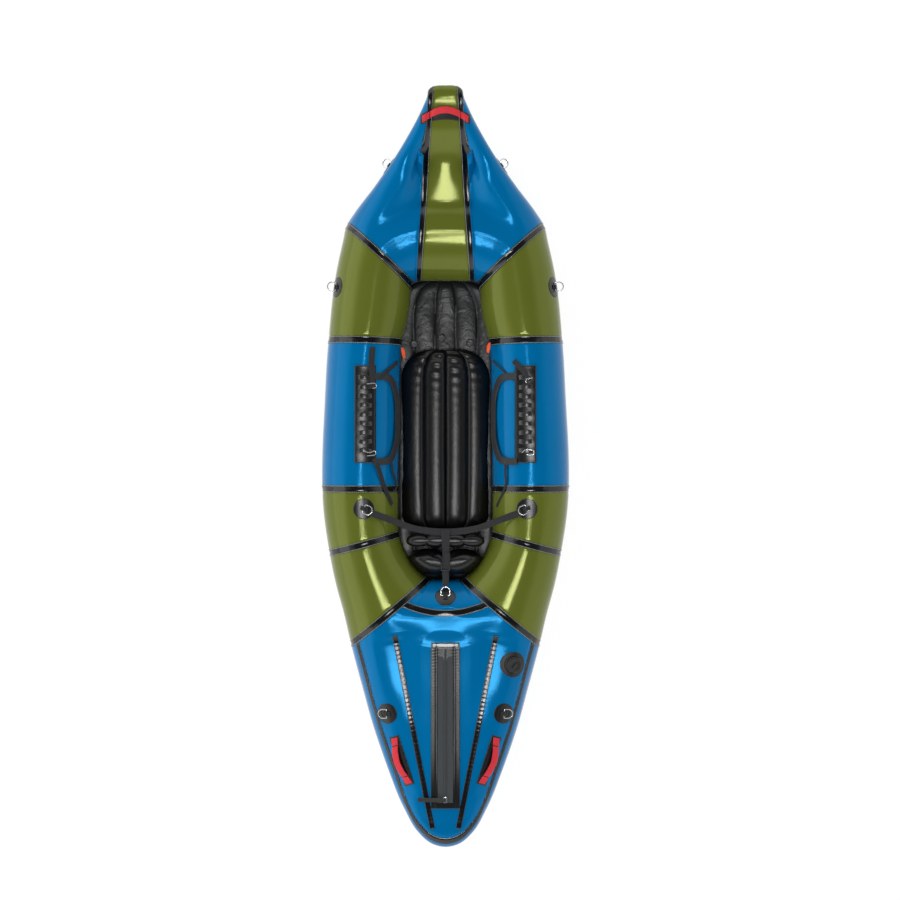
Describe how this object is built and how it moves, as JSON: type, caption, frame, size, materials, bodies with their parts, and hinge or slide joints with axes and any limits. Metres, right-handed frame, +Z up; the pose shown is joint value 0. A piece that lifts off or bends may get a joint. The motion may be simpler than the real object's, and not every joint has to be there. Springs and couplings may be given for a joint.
{
  "type": "packraft",
  "caption": "Inflatable one-person packraft with blue and green tubes, an upturned bow, a long cargo stern, a channelled seat, thigh straps and grab handles.",
  "frame": {"origin": "under the middle of the boat's bounding box, on the ground under its flat floor", "axes": "+Y towards the bow, +X to starboard, +Z up"},
  "size_m": [0.9234, 2.8034, 0.4027],
  "materials": {
    "blue_coated_nylon": "satin coated fabric",
    "green_coated_nylon": "satin coated fabric",
    "black_coated_nylon": "satin coated fabric",
    "black_webbing": "matt woven webbing",
    "red_webbing": "matt woven webbing",
    "polished_steel": "polished",
    "black_plastic": "matt"
  },
  "bodies": {
    "hull": {"bow_left_panel": "blue_coated_nylon", "bow_right_panel": "blue_coated_nylon", "side_left_tube": "blue_coated_nylon", "side_right_tube": "blue_coated_nylon", "rear_cross_panel": "blue_coated_nylon", "stern_deck_panel": "blue_coated_nylon", "stern_hull_panel": "blue_coated_nylon", "bow_centre_strip": "green_coated_nylon", "front_left_tube": "green_coated_nylon", "front_right_tube": "green_coated_nylon", "hip_left_tube": "green_coated_nylon", "hip_right_tube": "green_coated_nylon", "quarter_left_tube": "green_coated_nylon", "quarter_right_tube": "green_coated_nylon", "floor_sheet": "black_coated_nylon", "corner_seam_tape_left": "black_coated_nylon", "corner_seam_tape_right": "black_coated_nylon", "forward_seam_tape_left": "black_coated_nylon", "forward_seam_tape_right": "black_coated_nylon", "aft_seam_tape_left": "black_coated_nylon", "aft_seam_tape_right": "black_coated_nylon", "quarter_seam_tape_left": "black_coated_nylon", "quarter_seam_tape_right": "black_coated_nylon", "bow_left_ring_patch": "black_coated_nylon", "bow_right_ring_patch": "black_coated_nylon", "front_left_ring_patch": "black_coated_nylon", "front_right_ring_patch": "black_coated_nylon", "hip_left_ring": "polished_steel", "hip_left_ring_patch": "black_coated_nylon", "hip_right_ring": "polished_steel", "hip_right_ring_patch": "black_coated_nylon", "stern_left_ring_patch": "black_coated_nylon", "stern_right_ring_patch": "black_coated_nylon", "rear_ring": "polished_steel", "rear_ring_patch": "black_coated_nylon", "bow_handle_patch": "black_coated_nylon", "stern_left_handle_patch": "black_coated_nylon", "stern_right_handle_patch": "black_coated_nylon", "zip_patch": "black_coated_nylon", "floor_mat": "black_coated_nylon", "seat_cushion": "black_coated_nylon", "backrest": "black_coated_nylon", "back_bolster": "black_coated_nylon", "zip_tape": "black_webbing", "back_strap": "black_webbing", "thigh_strap_left": "black_webbing", "thigh_strap_right": "black_webbing", "valve_base": "black_plastic"},
    "bow_left_ring_body": {"bow_left_ring": "polished_steel"},
    "bow_right_ring_body": {"bow_right_ring": "polished_steel"},
    "front_left_ring_body": {"front_left_ring": "polished_steel"},
    "front_right_ring_body": {"front_right_ring": "polished_steel"},
    "stern_left_ring_body": {"stern_left_ring": "polished_steel"},
    "stern_right_ring_body": {"stern_right_ring": "polished_steel"},
    "bow_handle_body": {"bow_handle": "red_webbing"},
    "stern_left_handle_body": {"stern_left_handle": "red_webbing"},
    "stern_right_handle_body": {"stern_right_handle": "red_webbing"},
    "zip_slider_body": {"zip_slider": "polished_steel"},
    "zip_pull_body": {"zip_pull": "black_webbing"},
    "valve_cap_body": {"valve_cap": "black_plastic"}
  },
  "joints": [
    {"name": "bow_left_ring_hinge", "type": "hinge", "parent": "hull", "child": "bow_left_ring_body", "pos_m": [-0.20758, 1.12537, 0.23431], "axis": [0.6118, 0.7795, 0.1349], "range_deg": [-55, 95]},
    {"name": "bow_right_ring_hinge", "type": "hinge", "parent": "hull", "child": "bow_right_ring_body", "pos_m": [0.20751, 1.12537, 0.23425], "axis": [0.6117, -0.7793, -0.1357], "range_deg": [-55, 95]},
    {"name": "front_left_ring_hinge", "type": "hinge", "parent": "hull", "child": "front_left_ring_body", "pos_m": [-0.4059, 0.67759, 0.20651], "axis": [0.1191, 0.9908, -0.0634], "range_deg": [-55, 95]},
    {"name": "front_right_ring_hinge", "type": "hinge", "parent": "hull", "child": "front_right_ring_body", "pos_m": [0.40588, 0.67761, 0.2065], "axis": [0.1219, -0.9904, 0.0649], "range_deg": [-55, 95]},
    {"name": "stern_left_ring_hinge", "type": "hinge", "parent": "hull", "child": "stern_left_ring_body", "pos_m": [-0.2164, -0.89751, 0.2676], "axis": [-0.0573, 0.9917, 0.1153], "range_deg": [0, 150]},
    {"name": "stern_right_ring_hinge", "type": "hinge", "parent": "hull", "child": "stern_right_ring_body", "pos_m": [0.21638, -0.89752, 0.26753], "axis": [-0.0581, -0.9913, -0.1182], "range_deg": [0, 150]},
    {"name": "bow_handle_hinge", "type": "hinge", "parent": "hull", "child": "bow_handle_body", "pos_m": [0, 1.27933, 0.3807], "axis": [1, 0, 0.0029], "range_deg": [0, 90]},
    {"name": "stern_left_handle_hinge", "type": "hinge", "parent": "hull", "child": "stern_left_handle_body", "pos_m": [-0.15673, -1.06926, 0.27111], "axis": [-0.3086, 0.951, 0.0196], "range_deg": [0, 90]},
    {"name": "stern_right_handle_hinge", "type": "hinge", "parent": "hull", "child": "stern_right_handle_body", "pos_m": [0.15673, -1.06924, 0.27126], "axis": [-0.3086, -0.951, -0.0175], "range_deg": [0, 90]},
    {"name": "zip_slide", "type": "slide", "parent": "hull", "child": "zip_slider_body", "axis": [0, 0.9999, 0.0149], "range_m": [0, 0.54]},
    {"name": "zip_pull_hinge", "type": "hinge", "parent": "zip_slider_body", "child": "zip_pull_body", "pos_m": [0, -1.21218, 0.29138], "axis": [0, 0.9999, 0.0149], "range_deg": [0, 165]},
    {"name": "valve_cap_hinge", "type": "hinge", "parent": "hull", "child": "valve_cap_body", "pos_m": [0.25473, -0.71732, 0.28178], "axis": [0.4408, -0.105, 0.8915], "range_deg": [0, 90]}
  ]
}
